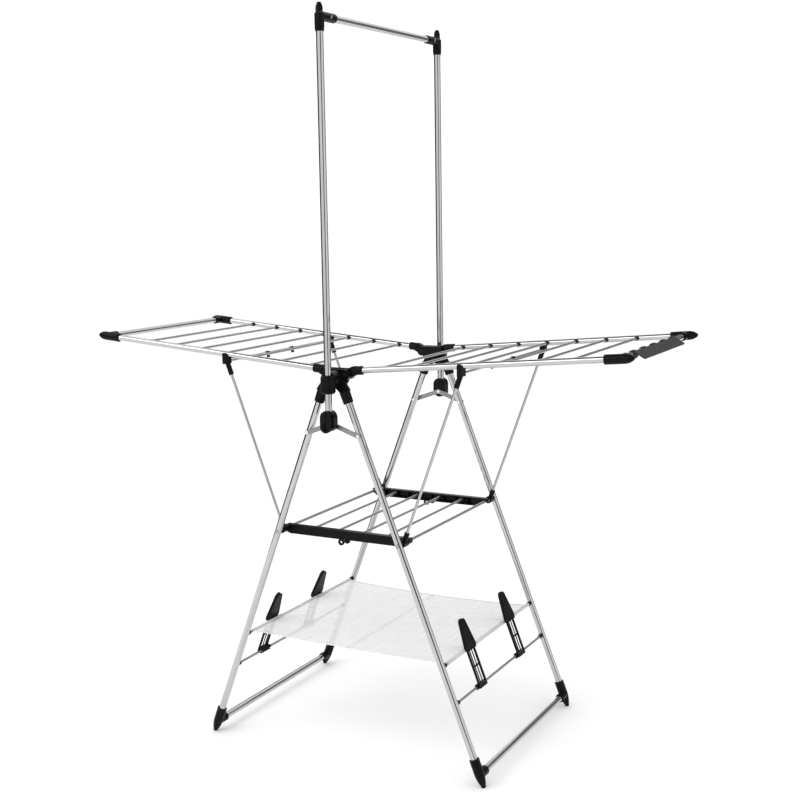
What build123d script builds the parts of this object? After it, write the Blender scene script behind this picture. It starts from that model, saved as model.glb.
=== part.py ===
"""Winged clothes drying rack with a garment rail, a middle shelf, a sweater net and shoe holders.

Frame: origin on the floor under the middle of the rack. X runs along the wings, Y through the depth
(front is -Y), Z is up. All sizes are in millimetres. The rack stands open, as it is used.
"""

import os
from math import asin, atan, atan2, cos, degrees, hypot, radians, sin, sqrt

from build123d import *

# ---------------------------------------------------------------- driving dimensions
# overall
total_height = 1700.0
foot_half_spread = 362.0
leg_y = 259.5
wing_half_span = 685.0

# tubes and rods
leg_tube_r = 8.0
wing_tube_r = 7.0
tube_wall = 1.0
rod_r = 3.0
pivot_rod_r = 3.5
strut_rod_r = 3.25
fit_gap = 0.05
running_gap = 0.06
clear_gap = 0.5
tube_seat = 3.0
pole_over_bar = 10.0

# hub
hub_z = 890.0
hub_r = 20.0
leg_offset = 17.0
ring_width = 8.0
ring_gap = 0.6
hub_bolt_r = 3.0
spigot_r = hub_bolt_r + 6.0
cheek_width = 6.8
wing_pin_x = 24.0
wing_pin_z = hub_z + 10.0
wing_pin_r = 4.0
ear_r = 12.0
web_half_width = 11.0
cheek_gap = 0.8
hub_web_drop = 10.0
hub_web_below_top = 2.0
hub_bolt_grip = 3.8
bolt_head_r = 6.0
bolt_head_height = 2.2
head_chamfer = 0.7
guide_r = leg_tube_r + 8.5
guide_height = 41.0
guide_bottom_z = hub_z - 29.0
guide_chamfer = 3.0
guide_bands = (9.0, 13.0)
guide_band_width = 1.2
guide_band_depth = 1.2

# leg sockets
socket_mouth_r = leg_tube_r + 3.5
socket_top_r = leg_tube_r + 4.2
socket_shoulder = 6.0
socket_crown = 4.0
socket_web_inset = 4.0
socket_top = -30.0
socket_mouth = -62.0
tube_top = -34.0
flute_r = 1.1
flute_spread = 3.5
flute_lean = 0.4

# feet
foot_r = leg_tube_r + 3.5
foot_length = 66.0
foot_nose = 30.0
foot_tip_r = 6.0
foot_flat_r = 4.0
foot_bar_height = 30.0
foot_collar_r = leg_tube_r + 3.0
foot_collar_length = 28.0
foot_bar_inset = 4.0
foot_floor = 2.0

# rods across the legs, measured up the leg from the tip of the foot
upper_rod_height = 279.0
lower_rod_height = 192.0
plug_wall = 2.5
plug_length = 9.0
plug_floor = 2.0
small_chamfer = 0.8
pivot_rod_z = 526.0
pivot_head_r = 5.0
pivot_head_thickness = 1.4

# spreader links
link_rivet_z = hub_z - 123.0
link_centre_z = hub_z - 100.0
link_width = 11.0
link_thickness = 1.8
link_rivet_r = 2.0
link_head_r = 4.2
link_head_thickness = 1.6
link_layer_gap = 0.4
link_leg_gap = 0.6
rivet_tail_r = 3.0
rivet_tail_thickness = 1.2

# garment frame
bar_below_top = 28.0
top_fitting_r = leg_tube_r + 2.5
top_fitting_height = 60.0
top_collar_length = 60.0
top_dome = 24.0
top_flat = 6.5
top_taper = 8.0
top_collar_r = leg_tube_r + 2.2
top_fitting_flare = 8.0
collar_chamfer = 1.0
top_screw_at = 33.0
top_screw_r = 1.4
screw_head_r = 3.4
screw_head_height = 1.2
bracket_height = 50.0
bracket_top_z = hub_z - 66.0
bracket_front_half_width = leg_tube_r + 5.5
bracket_half_width = bracket_front_half_width + 3.0
bracket_depth = 27.0
bracket_plate = 6.5
bracket_groove = 2.6
bracket_step = 1.5
bracket_wall = 1.85
pole_in_bracket = 26.0
bracket_rib = 2.0
bracket_rib_height = 1.6
bracket_rib_start = 24.0
bracket_rib_end = 5.0
recess_height = 14.0
recess_half_width = 4.6
recess_half_height = 8.5
recess_depth = 3.5

# wings
wing_tilt = 4.94
wing_tube_offset = wing_tube_r
knuckle_width = 13.6
knuckle_r = ear_r - 1.0
wing_socket_r = wing_tube_r + 3.0
wing_socket_neck = 8.0
socket_chamfer = 1.2
wing_socket_length = 40.0
wing_socket_start = 15.0
wing_tube_start = 20.0
corner_r = wing_tube_r + 3.5
corner_length = 62.0
corner_nose = 18.0
corner_collar_r = wing_tube_r + 2.8
corner_collar_length = 29.0
corner_recess = (7.0, 4.0)
corner_recess_depth = 1.4
end_bar_setback = 28.0
first_wing_rod_x = 92.0
last_rod_to_end_bar = 113.6
wing_rod_count = 7
rod_clip_r = rod_r + 2.0
rod_clip_length = 7.0

# struts that carry the wings
strut_before_rod = 14.0
strut_rod_index = 3
cross_rod_drop = 16.0
strut_bend_r = 12.0
strut_collar_r = pivot_rod_r + 5.5
strut_collar_width = 26.0
strut_sleeve_r = strut_rod_r + 2.75
strut_sleeve_length = 26.0
strut_end_gap = 1.0
fork_width = 12.0
fork_leaf = 3.0
fork_prong = 2.6
fork_below_rod = 3.0
fork_leaf_over = 4.0
fork_leaf_round = 3.0
fork_sleeve_length = 22.0
fork_sleeve_gap = 3.0
cross_clip_places = (-70.0, 40.0)
cross_clip_length = 10.0
cross_clip_r = strut_rod_r + 1.95
cross_clip_tail = 11.0
cross_clip_tail_width = 3.0

# shelf
rail_collar_gap = 2.0
rail_width = 14.0
rail_top_z = pivot_rod_z + 7.0
rail_bottom_z = pivot_rod_z - 14.0
rail_wall = 2.6
rail_ring_r = pivot_rod_r + 4.5
rail_end_rise = 3.0
shelf_rod_count = 4
shelf_boss_wall = 2.0
saddle_gap = 0.4
saddle_lip = 3.5
saddle_lip_drop = 4.0
saddle_slope = 32.0
pocket_margin = 3.0
rib_pitch = 31.0
rib_width = 2.0
rib_setback = 1.5
ear_ring_x = -13.0
ear_ring_r = 7.8
ear_ring_bore = 3.2
ear_ring_drop = 6.4
ear_lug_x = 3.0
ear_lug_r = 7.0
ear_lug_drop = 1.5
ear_width = 4.0

# clip strip on the right wing's end bar
strip_front_gap = 42.0
strip_rear_gap = 76.0
strip_width = 27.0
strip_corner_r = 4.0
strip_thickness = 2.4
strip_tilt = 32.0
hook_count = 5
hook_width = 14.0
hook_wall = 2.4
hook_mouth = 100.0
hook_gap = 0.3

# shoe holders
holder_places = {"right_front": (1, -124.0), "right_rear": (1, 104.0),
                 "left_front": (-1, -134.0), "left_rear": (-1, 77.0)}
holder_edge_thickness = 4.5
holder_bar_thickness = 2.0
holder_leaf_thickness = 8.0
holder_tip_height = 350.0
holder_tip_r = 12.5
holder_shoulder_half_width = 24.0
holder_shoulder_rise = 3.0
holder_shoulder_height = 9.0
holder_notch = 4.0
holder_half_width = 19.0
holder_slots = 3
holder_edge_bar = 4.0
holder_inner_bar = 2.2
holder_cross_bar = 4.0
holder_clip_r = rod_r + 3.5
holder_clip_half_height = 5.0
holder_margin = 6.0

# sweater net
net_thickness = 1.5
hem_r = rod_r + 1.2
hem_front_gap = 7.5
hem_rear_gap = 2.5
net_hem_margin = 4.0

# ---------------------------------------------------------------- derived places
pivot_to_tip = hypot(foot_half_spread, hub_z)
leg_tilt = degrees(atan2(foot_half_spread, hub_z) - asin(leg_offset / pivot_to_tip))
leg_length = sqrt(pivot_to_tip**2 - leg_offset**2)
ring_inner_y = leg_y - ring_gap / 2 - ring_width
ring_outer_y = leg_y + ring_gap / 2 + ring_width
cheek_outer_y = ring_inner_y - cheek_gap
wing_y = cheek_outer_y - cheek_width - cheek_gap - knuckle_width / 2
knuckle_inner_y = wing_y - knuckle_width / 2
hub_inner_y = knuckle_inner_y - cheek_gap - cheek_width
link_first_y = leg_y + leg_tube_r + link_leg_gap
link_last_y = link_first_y + 2 * link_thickness + link_layer_gap
bracket_back_y = link_last_y + clear_gap
pole_y = bracket_back_y + bracket_wall + leg_tube_r + fit_gap
guide_back_y = ring_outer_y + cheek_gap
top_bar_z = total_height - bar_below_top
plug_end_y = leg_y - leg_tube_r - plug_length
hem_front_y = -plug_end_y + hem_front_gap
hem_rear_y = plug_end_y - hem_rear_gap
net_half_depth = -hem_front_y - net_hem_margin
strut_collar_y = wing_y - strut_collar_width / 2
rail_outer_y = strut_collar_y - rail_collar_gap


def leg_local_z(world_z, offset):
    """Height along a leg, from the hub axis, of a point at a height in the rack and an offset."""
    tilt = radians(leg_tilt)
    return (world_z - hub_z - offset * sin(tilt)) / cos(tilt)


def leg_world_x(local_x, local_z):
    """Distance from the rack's middle of a point given along a leg."""
    tilt = radians(leg_tilt)
    return local_x * cos(tilt) - local_z * sin(tilt)


link_rivet_local_z = leg_local_z(link_rivet_z, leg_offset)
link_rivet_x = leg_world_x(leg_offset, link_rivet_local_z)
link_length = hypot(link_rivet_x, link_centre_z - link_rivet_z)
pivot_rod_local_z = leg_local_z(pivot_rod_z, leg_offset)
pivot_rod_x = leg_world_x(leg_offset, pivot_rod_local_z)
shelf_rod_pitch = 2 * pivot_rod_x / (shelf_rod_count + 1)
wing_run = wing_half_span - wing_pin_x + wing_tube_offset * sin(radians(wing_tilt))
wing_length = wing_run / cos(radians(wing_tilt))
end_bar_at = wing_length - end_bar_setback
corner_mouth = wing_length - corner_length
end_bar_x = wing_pin_x + end_bar_at * cos(radians(wing_tilt)) - wing_tube_offset * sin(radians(wing_tilt))
wing_rod_pitch = (end_bar_x - last_rod_to_end_bar - first_wing_rod_x) / (wing_rod_count - 1)
strut_top_x = first_wing_rod_x + strut_rod_index * wing_rod_pitch - strut_before_rod
strip_start_y = -wing_y + corner_collar_length + strip_front_gap
strip_length = 2 * (wing_y - corner_collar_length) - strip_front_gap - strip_rear_gap


def wing_tube_z(world_x):
    """Height of a wing tube's axis at a distance from the rack's middle."""
    tilt = radians(wing_tilt)
    return wing_pin_z + wing_tube_offset / cos(tilt) + (world_x - wing_pin_x) * sin(tilt) / cos(tilt)


fork_tube_z = wing_tube_z(strut_top_x)
cross_rod_z = fork_tube_z - cross_rod_drop
strut_tilt = degrees(atan((strut_top_x - pivot_rod_x) / (cross_rod_z - pivot_rod_z)))
strut_length = hypot(strut_top_x - pivot_rod_x, cross_rod_z - pivot_rod_z)

MIN = Align.MIN
MID = Align.CENTER


# ---------------------------------------------------------------- helpers
def rod(start, end, radius):
    """Solid round bar between two points."""
    a = Vector(*start)
    b = Vector(*end)
    return Plane(origin=a, z_dir=b - a) * Cylinder(radius, (b - a).length, align=(MID, MID, MIN))


def pipe(start, end, radius, wall=tube_wall):
    """Round tube between two points."""
    return rod(start, end, radius) - rod(start, end, radius - wall)


def along_y(x, z, y0, y1, radius):
    """Solid round bar along Y."""
    return rod((x, y0, z), (x, y1, z), radius)


def across_y(sketch, y0, y1):
    """Flat piece with a sketched outline in XZ, filled from one Y to another."""
    return Pos(0, max(y0, y1), 0) * extrude(Plane.XZ * sketch, abs(y1 - y0))


def slab(outline, y0, y1):
    """Flat piece with a closed line as its outline in XZ."""
    return across_y(make_face(outline), y0, y1)


def bar_outline(a, b, radius):
    """Outline of a flat bar with round ends, between two points in XZ."""
    ends = Pos(*a) * Circle(radius) + Pos(*b) * Circle(radius)
    length = hypot(b[0] - a[0], b[1] - a[1])
    turn = degrees(atan2(b[1] - a[1], b[0] - a[0]))
    middle = Pos((a[0] + b[0]) / 2, (a[1] + b[1]) / 2) * Rot(0, 0, turn) * Rectangle(length, 2 * radius)
    return ends + middle


def flat_bar(a, b, radius, y0, y1):
    """Flat bar with round ends along Y from y0 to y1."""
    return across_y(bar_outline(a, b, radius), y0, y1)


def box_between(low, high):
    """Box from its lowest corner to its highest corner."""
    size = [h - l for l, h in zip(low, high)]
    middle = [(h + l) / 2 for l, h in zip(low, high)]
    return Pos(*middle) * Box(*size)


def turned(profile, base):
    """Round piece turned about a local Z axis from (radius, height) points, ends closed on the axis."""
    points = [(0, profile[0][1])] + list(profile) + [(0, profile[-1][1])]
    face = Plane.XZ * make_face(Polyline(*points, close=True))
    return base * revolve(face, Axis.Z)


def front_and_rear(front):
    """The front piece and its mirror image at the rear."""
    return [front, front.mirror(Plane.XZ)]


def on_leg(side):
    """Frame of a leg: local Z points up the leg, the origin is the hub axis."""
    return Pos(0, 0, hub_z) * Rot(0, -side * leg_tilt, 0)


def on_wing(side):
    """Frame of a wing: local X points outwards along the wing on the right, the origin is its pin."""
    return Pos(side * wing_pin_x, 0, wing_pin_z) * Rot(0, -side * wing_tilt, 0)


def largest(body):
    """The largest separate solid of a body, without offcuts."""
    return max(body.solids(), key=lambda solid: solid.volume)


def save(name, *pieces):
    """Write one node from one or more separate solids."""
    solids = [solid for piece in pieces for solid in piece.solids()]
    shape = solids[0] if len(solids) == 1 else Compound(children=solids)
    shape.label = name
    export_step(shape, f"parts/{name}.step")


# ---------------------------------------------------------------- hub
def hub_core():
    """Front hub block: two cheeks that hold the wing pins, a web between them and the leg spigot."""
    ears = Pos(-wing_pin_x, wing_pin_z) * Circle(ear_r) + Pos(wing_pin_x, wing_pin_z) * Circle(ear_r)
    bridge = Pos(0, wing_pin_z) * Rectangle(2 * wing_pin_x, 2 * ear_r)
    outline = Pos(0, hub_z) * Circle(hub_r) + ears + bridge
    outer = across_y(outline, -cheek_outer_y, -cheek_outer_y + cheek_width)
    inner = across_y(outline, -hub_inner_y - cheek_width, -hub_inner_y)
    web = box_between((-web_half_width, -cheek_outer_y + cheek_width / 2, hub_z - hub_web_drop),
                      (web_half_width, -hub_inner_y - cheek_width / 2, wing_pin_z + ear_r - hub_web_below_top))
    spigot = along_y(0, hub_z, -guide_back_y, -cheek_outer_y + 1, spigot_r)
    block = outer + inner + web + spigot
    end = -hub_inner_y + 1
    for side in (-1, 1):
        block -= along_y(side * wing_pin_x, wing_pin_z, -cheek_outer_y - 1, end, wing_pin_r + fit_gap)
    return block - along_y(0, hub_z, -guide_back_y - 1, end, hub_bolt_r + fit_gap)


def pole_guide():
    """Barrel in front of the hub that the garment pole slides through."""
    middle_z = guide_bottom_z + guide_height / 2
    belly = Pos(0, -pole_y, middle_z) * Cylinder(guide_r, guide_height)
    belly = chamfer(belly.edges().filter_by(GeomType.CIRCLE), guide_chamfer)
    body = belly + along_y(0, hub_z, -pole_y, -guide_back_y, hub_r)
    for height in guide_bands:
        band = Cylinder(guide_r + 1, guide_band_width) - Cylinder(guide_r - guide_band_depth, guide_band_width)
        body -= Pos(0, -pole_y, guide_bottom_z + height) * band
    keep = box_between((-guide_r - hub_r, -pole_y - 2 * guide_r, hub_z - 2 * guide_height),
                       (guide_r + hub_r, -guide_back_y, hub_z + 2 * guide_height))
    body = body & keep
    body -= Pos(0, -pole_y, middle_z) * Cylinder(leg_tube_r + running_gap, 2 * guide_height)
    bolt_end = -guide_back_y - hub_bolt_grip - fit_gap
    return body - along_y(0, hub_z, bolt_end, -guide_back_y + 1, hub_bolt_r + fit_gap)


def hub_bolt():
    """Bolt through the hub block and its spigot into the pole guide."""
    shank = along_y(0, hub_z, -guide_back_y - hub_bolt_grip, -hub_inner_y, hub_bolt_r)
    head = along_y(0, hub_z, -hub_inner_y, -hub_inner_y + bolt_head_height, bolt_head_r)
    return shank + chamfer(head.edges().group_by(Axis.Y)[-1], head_chamfer)


def wing_pin(side):
    """Steel pin that a wing turns on."""
    return along_y(side * wing_pin_x, wing_pin_z, -cheek_outer_y, -hub_inner_y, wing_pin_r)


# ---------------------------------------------------------------- legs
def leg_socket(side):
    """Plastic socket on top of a leg, with half of the hub's hinge barrel."""
    if side > 0:
        ring_y = (-ring_inner_y - ring_width, -ring_inner_y)
        other_y = (-ring_outer_y - 1, ring_y[0] - ring_gap / 2 + fit_gap)
    else:
        ring_y = (-ring_outer_y, -ring_outer_y + ring_width)
        other_y = (ring_y[1] + ring_gap / 2 - fit_gap, -ring_inner_y + 1)
    x = side * leg_offset
    shoulder = socket_top - socket_shoulder
    ring = along_y(0, 0, ring_y[0], ring_y[1], hub_r)
    web = slab(Polyline((0, 0), (side * hub_r, 0), (x + side * socket_top_r, shoulder),
                        (x - side * socket_top_r, shoulder),
                        (-side * socket_web_inset, socket_web_inset / 2 - hub_r), close=True),
               ring_y[0], ring_y[1])
    sleeve = turned([(socket_mouth_r, socket_mouth), (socket_top_r, shoulder),
                     (socket_top_r - socket_crown, socket_top)], Pos(x, -leg_y, 0))
    body = ring + web + sleeve
    body -= along_y(0, 0, other_y[0], other_y[1], hub_r + clear_gap)
    for flute in (-1, 1):
        groove_x = x + flute * flute_spread
        body -= rod((groove_x, -leg_y - socket_top_r, socket_mouth - 1),
                    (groove_x, -leg_y - socket_top_r - flute_lean, shoulder), flute_r)
    body -= rod((x, -leg_y, socket_mouth - 1), (x, -leg_y, tube_top), leg_tube_r + fit_gap)
    body -= along_y(0, 0, -ring_outer_y - 1, -ring_inner_y + 1, spigot_r + running_gap)
    return on_leg(side) * largest(body)


def leg_tube(side):
    """Steel leg tube with the holes for the link rivet and the pivot rod."""
    x = side * leg_offset
    bottom = -leg_length + foot_bar_height + foot_collar_r + foot_floor
    tube = pipe((x, -leg_y, bottom), (x, -leg_y, tube_top), leg_tube_r)
    for z, radius in ((link_rivet_local_z, link_rivet_r), (pivot_rod_local_z, pivot_rod_r)):
        tube -= along_y(x, z, -leg_y - 2 * leg_tube_r, -leg_y + 2 * leg_tube_r, radius + fit_gap)
    return on_leg(side) * tube


def foot(side):
    """Pointed plastic foot with a small flat on the floor and a collar for the foot bar."""
    x = side * leg_offset
    tip_rise = sqrt(foot_tip_r**2 - foot_flat_r**2)
    tip_z = -leg_length + tip_rise / cos(radians(leg_tilt))
    body = turned([(foot_tip_r * 0.9, tip_z), (foot_r * 0.7, -leg_length + foot_nose * 0.35),
                   (foot_r * 0.9, -leg_length + foot_nose * 0.7), (foot_r, -leg_length + foot_nose),
                   (foot_r, -leg_length + foot_length)], Pos(x, -leg_y, 0))
    body += Pos(x, -leg_y, tip_z) * Sphere(foot_tip_r)
    bar_z = -leg_length + foot_bar_height
    body += along_y(x, bar_z, -leg_y, -leg_y + foot_collar_length, foot_collar_r)
    body -= rod((x, -leg_y, bar_z + foot_collar_r + foot_floor), (x, -leg_y, -leg_length + foot_length + 1),
                leg_tube_r + fit_gap)
    body -= along_y(x, bar_z, -leg_y + foot_bar_inset, -leg_y + foot_collar_length + 1, leg_tube_r + fit_gap)
    reach = 2 * foot_half_spread
    floor = box_between((-reach, -2 * leg_y, -foot_length), (reach, 2 * leg_y, 0))
    return on_leg(side) * body - floor


def foot_bar(side):
    """Steel tube between the front and rear feet."""
    end = leg_y - foot_bar_inset
    z = -leg_length + foot_bar_height
    return on_leg(side) * pipe((side * leg_offset, -end, z), (side * leg_offset, end, z), leg_tube_r)


def side_rod(side, height):
    """Thin rod from the front leg to the rear leg."""
    z = -leg_length + height
    end = leg_y - leg_tube_r - plug_floor
    return on_leg(side) * along_y(side * leg_offset, z, -end, end, rod_r)


def rod_plug(side, height):
    """Bushing that holds the front end of a thin rod against its leg."""
    x = side * leg_offset
    z = -leg_length + height
    body = along_y(x, z, -leg_y, -plug_end_y, rod_r + plug_wall)
    body = chamfer(body.edges().group_by(Axis.Y)[-1], small_chamfer)
    body -= rod((x, -leg_y, z - 2 * leg_tube_r), (x, -leg_y, z + 2 * leg_tube_r), leg_tube_r + fit_gap)
    body -= along_y(x, z, -leg_y + leg_tube_r + plug_floor - fit_gap, -plug_end_y + 1, rod_r + fit_gap)
    return on_leg(side) * body


def pivot_rod(side):
    """Rod through the front and rear leg tubes that carries the shelf and the strut collars."""
    x = side * leg_offset
    end = leg_y + leg_tube_r + fit_gap
    body = along_y(x, pivot_rod_local_z, -end, end, pivot_rod_r)
    head = along_y(x, pivot_rod_local_z, -end - pivot_head_thickness, -end, pivot_head_r)
    head = chamfer(head.edges().group_by(Axis.Y)[0], head_chamfer)
    return on_leg(side) * (body + head + head.mirror(Plane.XZ))


def link_layer(side):
    """Nearest and farthest Y of the front link on one side: the right link lies against the legs."""
    near = link_first_y if side > 0 else link_first_y + link_thickness + link_layer_gap
    return near, near + link_thickness


def link_rivet(side):
    """Rivet through a leg tube that a spreader link turns on."""
    x = side * leg_offset
    z = link_rivet_local_z
    outer = link_layer(side)[1] + running_gap
    tail_y = -leg_y + leg_tube_r + fit_gap
    shaft = along_y(x, z, -outer, tail_y + rivet_tail_thickness / 2, link_rivet_r)
    head = along_y(x, z, -outer - link_head_thickness, -outer, link_head_r)
    head = chamfer(head.edges().group_by(Axis.Y)[0], head_chamfer)
    tail = along_y(x, z, tail_y, tail_y + rivet_tail_thickness, rivet_tail_r)
    return on_leg(side) * (shaft + head + tail)


def net_hem(side):
    """Sewn sleeve of the net round the upper rod."""
    z = -leg_length + upper_rod_height
    x = side * leg_offset
    hem = along_y(x, z, hem_front_y, hem_rear_y, hem_r)
    return on_leg(side) * (hem - along_y(x, z, hem_front_y, hem_rear_y, rod_r + fit_gap))


# ---------------------------------------------------------------- spreader links
def spreader_link(side):
    """Front flat link from a leg to the middle of the pole bracket."""
    near, far = link_layer(side)
    bar = flat_bar((side * link_rivet_x, link_rivet_z), (0, link_centre_z), link_width / 2, -far, -near)
    return bar - along_y(side * link_rivet_x, link_rivet_z, -far - 1, -near + 1, link_rivet_r + running_gap)


def link_centre_head():
    """Rivet head on the inner face of the right link, in the middle of the spreader."""
    near = link_layer(1)[0]
    head = along_y(0, link_centre_z, -near, -near + link_head_thickness, link_head_r)
    return chamfer(head.edges().group_by(Axis.Y)[-1], head_chamfer)


# ---------------------------------------------------------------- garment frame
def garment_pole():
    """Front garment pole, from the bracket to the top fitting."""
    low_z = bracket_top_z - pole_in_bracket
    return pipe((0, -pole_y, low_z), (0, -pole_y, top_bar_z + pole_over_bar), leg_tube_r)


def garment_bar():
    """Rail that hangers hang on."""
    end = pole_y - leg_tube_r - tube_seat
    return pipe((0, -end, top_bar_z), (0, end, top_bar_z), leg_tube_r)


def top_fitting():
    """Tee on top of a pole with a flattened, pointed top and a collar for the rail."""
    base = total_height - top_fitting_height
    body = turned([(top_fitting_r - 1, base), (top_fitting_r, base + top_fitting_flare),
                   (top_fitting_r, total_height - top_dome),
                   (top_fitting_r * 0.82, total_height - top_dome * 0.45),
                   (top_fitting_r * 0.5, total_height - top_dome * 0.1), (top_fitting_r * 0.4, total_height)],
                  Pos(0, -pole_y, 0))
    for sign in (-1, 1):
        body -= (Pos(sign * (top_flat + top_fitting_r), -pole_y, total_height) * Rot(0, sign * top_taper, 0)
                 * Box(2 * top_fitting_r, 4 * top_fitting_r, 2 * top_dome))
    collar = along_y(0, top_bar_z, -pole_y, -pole_y + top_collar_length, top_collar_r)
    body += chamfer(collar.edges().group_by(Axis.Y)[-1], collar_chamfer)
    body -= rod((0, -pole_y, base - 1), (0, -pole_y, top_bar_z + pole_over_bar), leg_tube_r + fit_gap)
    body -= along_y(0, top_bar_z, -pole_y + leg_tube_r + tube_seat, -pole_y + top_collar_length + 1,
                    leg_tube_r + fit_gap)
    screw_y = -pole_y + top_screw_at
    return body - rod((leg_tube_r, screw_y, top_bar_z), (top_collar_r + 1, screw_y, top_bar_z), top_screw_r)


def top_screw():
    """Screw that holds the rail in the top fitting, on the collar's right side."""
    y = -pole_y + top_screw_at
    shank = rod((leg_tube_r + fit_gap, y, top_bar_z), (top_collar_r, y, top_bar_z), top_screw_r)
    head = rod((top_collar_r, y, top_bar_z), (top_collar_r + screw_head_height, y, top_bar_z), screw_head_r)
    return shank + head


def capsule(half_width, z0, z1, y0, y1):
    """Upright flat bar with round ends, from height z0 to z1 and from depth y0 to y1 in front."""
    return flat_bar((0, z0 + half_width), (0, z1 - half_width), half_width, -y1, -y0)


def pole_bracket():
    """Capsule-shaped bracket on the lower end of a pole: back plate, groove and front plate."""
    front_y = bracket_back_y + bracket_depth
    plate_y = front_y - bracket_plate
    low_z = bracket_top_z - bracket_height
    high_z = bracket_top_z
    step = bracket_step
    back = capsule(bracket_half_width, low_z + step, high_z, bracket_back_y, plate_y - bracket_groove)
    neck = capsule(bracket_front_half_width - step, low_z + 2 * step, high_z - 2 * step,
                   bracket_back_y, plate_y + 1)
    front = capsule(bracket_front_half_width, low_z, high_z - step, plate_y, front_y)
    rib = flat_bar((0, low_z + bracket_rib_start), (0, high_z - bracket_rib_end), bracket_rib,
                   -front_y - bracket_rib_height, -front_y + 1)
    recess = across_y(Pos(0, low_z + recess_height) * Ellipse(recess_half_width, recess_half_height),
                      -front_y - bracket_rib_height - 1, -front_y + recess_depth)
    body = back + neck + front + rib - recess
    return body - rod((0, -pole_y, high_z - pole_in_bracket), (0, -pole_y, high_z + 1), leg_tube_r + fit_gap)


# ---------------------------------------------------------------- wings
def wing_socket(side):
    """Front socket that joins a wing tube to the hub: a flat knuckle, then a round sleeve."""
    axis_z = wing_tube_offset
    start = side * wing_socket_start
    neck_end = side * (wing_socket_start + wing_socket_neck)
    end = side * wing_socket_length
    knuckle = along_y(0, 0, -wing_y - knuckle_width / 2, -wing_y + knuckle_width / 2, knuckle_r)
    neck = slab(Polyline((0, -knuckle_r), (neck_end, axis_z - wing_socket_r),
                         (neck_end, axis_z + wing_socket_r), (start, axis_z + wing_socket_r),
                         (0, knuckle_r), close=True),
                -wing_y - knuckle_width / 2, -wing_y + knuckle_width / 2)
    sleeve = rod((start, -wing_y, axis_z), (end, -wing_y, axis_z), wing_socket_r)
    body = knuckle + neck + chamfer(sleeve.edges().filter_by(GeomType.CIRCLE), socket_chamfer)
    body -= rod((side * wing_tube_start, -wing_y, axis_z), (end + side, -wing_y, axis_z), wing_tube_r + fit_gap)
    body -= along_y(0, 0, -wing_y - knuckle_width, -wing_y + knuckle_width, wing_pin_r + running_gap)
    return on_wing(side) * body


def wing_side_tube(side):
    """Front tube of a wing."""
    end = end_bar_at - wing_tube_r - tube_seat
    return on_wing(side) * pipe((side * wing_tube_start, -wing_y, wing_tube_offset),
                                (side * end, -wing_y, wing_tube_offset), wing_tube_r)


def wing_end_bar(side):
    """Tube across the outer end of a wing."""
    end = wing_y - wing_tube_r - tube_seat
    return on_wing(side) * pipe((side * end_bar_at, -end, wing_tube_offset),
                                (side * end_bar_at, end, wing_tube_offset), wing_tube_r)


def corner_fitting(side):
    """Front corner tee of a wing with a pointed nose."""
    frame = Pos(0, -wing_y, wing_tube_offset) * Rot(0, side * 90, 0)
    nose = wing_length - corner_nose
    body = turned([(corner_r, corner_mouth), (corner_r, nose), (corner_r * 0.86, nose + corner_nose * 0.45),
                   (corner_r * 0.5, nose + corner_nose * 0.85), (corner_r * 0.28, wing_length)], frame)
    seat = wing_tube_r + tube_seat
    bar_x = side * end_bar_at
    axis_z = wing_tube_offset
    body += along_y(bar_x, axis_z, -wing_y, -wing_y + corner_collar_length, corner_collar_r)
    body -= rod((side * (corner_mouth - 1), -wing_y, axis_z), (bar_x - side * seat, -wing_y, axis_z),
                wing_tube_r + fit_gap)
    body -= along_y(bar_x, axis_z, -wing_y + seat, -wing_y + corner_collar_length + 1, wing_tube_r + fit_gap)
    recess = across_y(Pos(bar_x, axis_z) * Ellipse(*corner_recess),
                      -wing_y - corner_r - 1, -wing_y - corner_r + corner_recess_depth)
    return on_wing(side) * (body - recess)


def wing_rod_places():
    """Places of the drying rods along a wing, from its pin."""
    return [(first_wing_rod_x + index * wing_rod_pitch - wing_pin_x) / cos(radians(wing_tilt))
            for index in range(wing_rod_count)]


def wing_rod(side, place):
    """One drying rod of a wing."""
    end = wing_y - wing_tube_r - 4 * fit_gap
    return on_wing(side) * along_y(side * place, wing_tube_offset, -end, end, rod_r)


def wing_rod_clip(side, place):
    """Ring clip that holds the front end of a drying rod to the wing tube."""
    inner = -wing_y + wing_tube_r + rod_clip_length
    reach = 2 * rod_clip_r
    body = along_y(side * place, wing_tube_offset, -wing_y, inner, rod_clip_r)
    body -= rod((side * (place - reach), -wing_y, wing_tube_offset),
                (side * (place + reach), -wing_y, wing_tube_offset), wing_tube_r + fit_gap)
    body -= along_y(side * place, wing_tube_offset, -wing_y, inner + 1, rod_r + fit_gap)
    return on_wing(side) * body


# ---------------------------------------------------------------- struts
def on_strut(side):
    """Frame of a strut: local Z points up the strut from the pivot rod."""
    return Pos(side * pivot_rod_x, 0, pivot_rod_z) * Rot(0, side * strut_tilt, 0)


def strut_frame(side, radius=strut_rod_r):
    """One rod bent to a U: up from the front collar, across under the wing, down to the rear collar."""
    start = strut_collar_r - strut_end_gap
    path = FilletPolyline((0, -wing_y, start), (0, -wing_y, strut_length), (0, wing_y, strut_length),
                          (0, wing_y, start), radius=strut_bend_r)
    profile = Plane(origin=path @ 0, z_dir=path % 0) * Circle(radius)
    return on_strut(side) * sweep(profile, path=path)


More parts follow.
